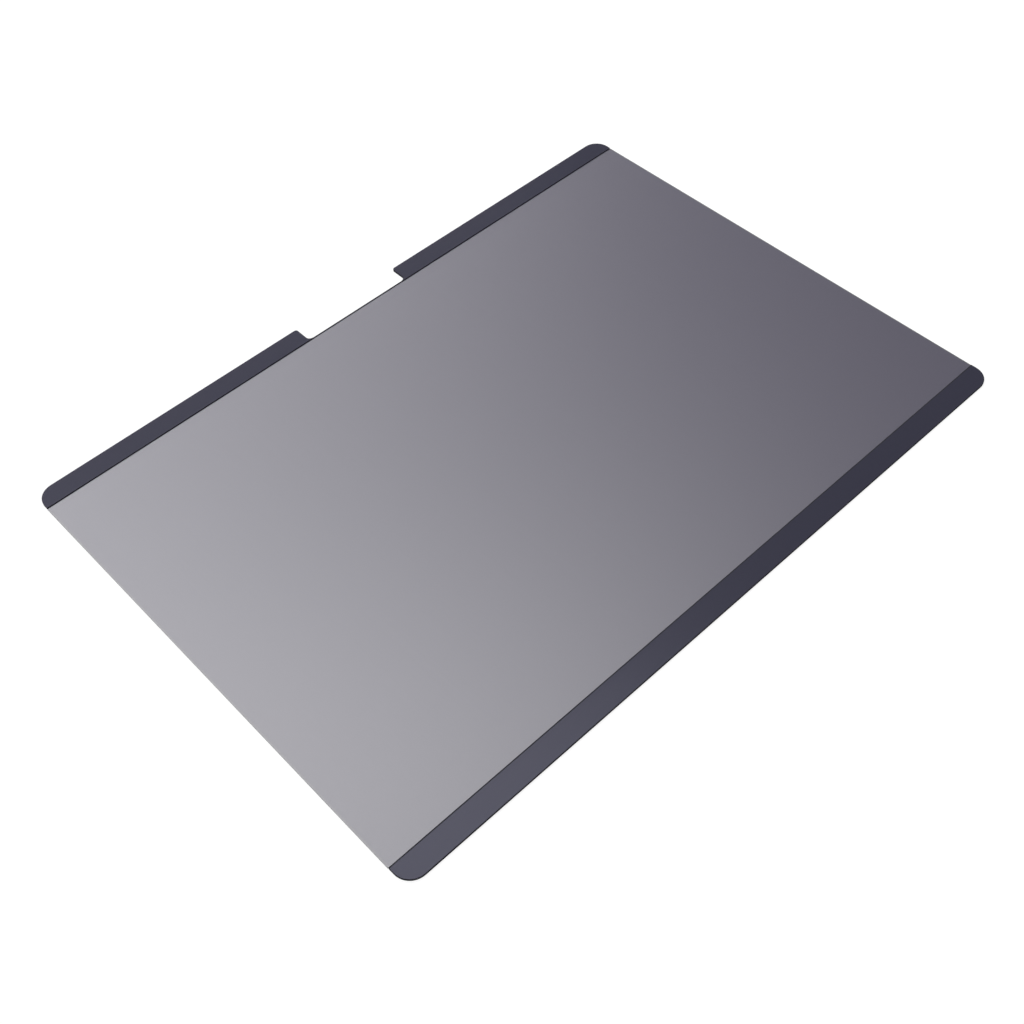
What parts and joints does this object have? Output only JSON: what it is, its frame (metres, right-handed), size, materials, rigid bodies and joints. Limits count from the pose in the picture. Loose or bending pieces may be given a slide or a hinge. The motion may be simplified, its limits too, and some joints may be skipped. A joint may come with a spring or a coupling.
{
  "type": "laptop privacy filter",
  "caption": "Flat louvred privacy film for a laptop screen, with slim black magnetic strips along its long edges, rounded outer corners and a camera notch in the top strip.",
  "frame": {"origin": "middle of the back face, on the surface that the filter lies on", "axes": "+X along the strips, +Y towards the strip with the camera notch, +Z out of the front face"},
  "size_m": [0.302, 0.217, 0.001],
  "materials": {
    "film": "satin grey louvred film",
    "strip": "fine matte, black",
    "tape": "black double-sided tape",
    "magnet": "dark brown bonded ferrite"
  },
  "bodies": {
    "root": {"privacy_film": "film", "top_strip": "strip", "bottom_strip": "strip", "top_left_tape": "tape", "top_right_tape": "tape", "bottom_tape": "tape", "top_left_magnet": "magnet", "top_right_magnet": "magnet", "bottom_magnet": "magnet"}
  },
  "joints": []
}
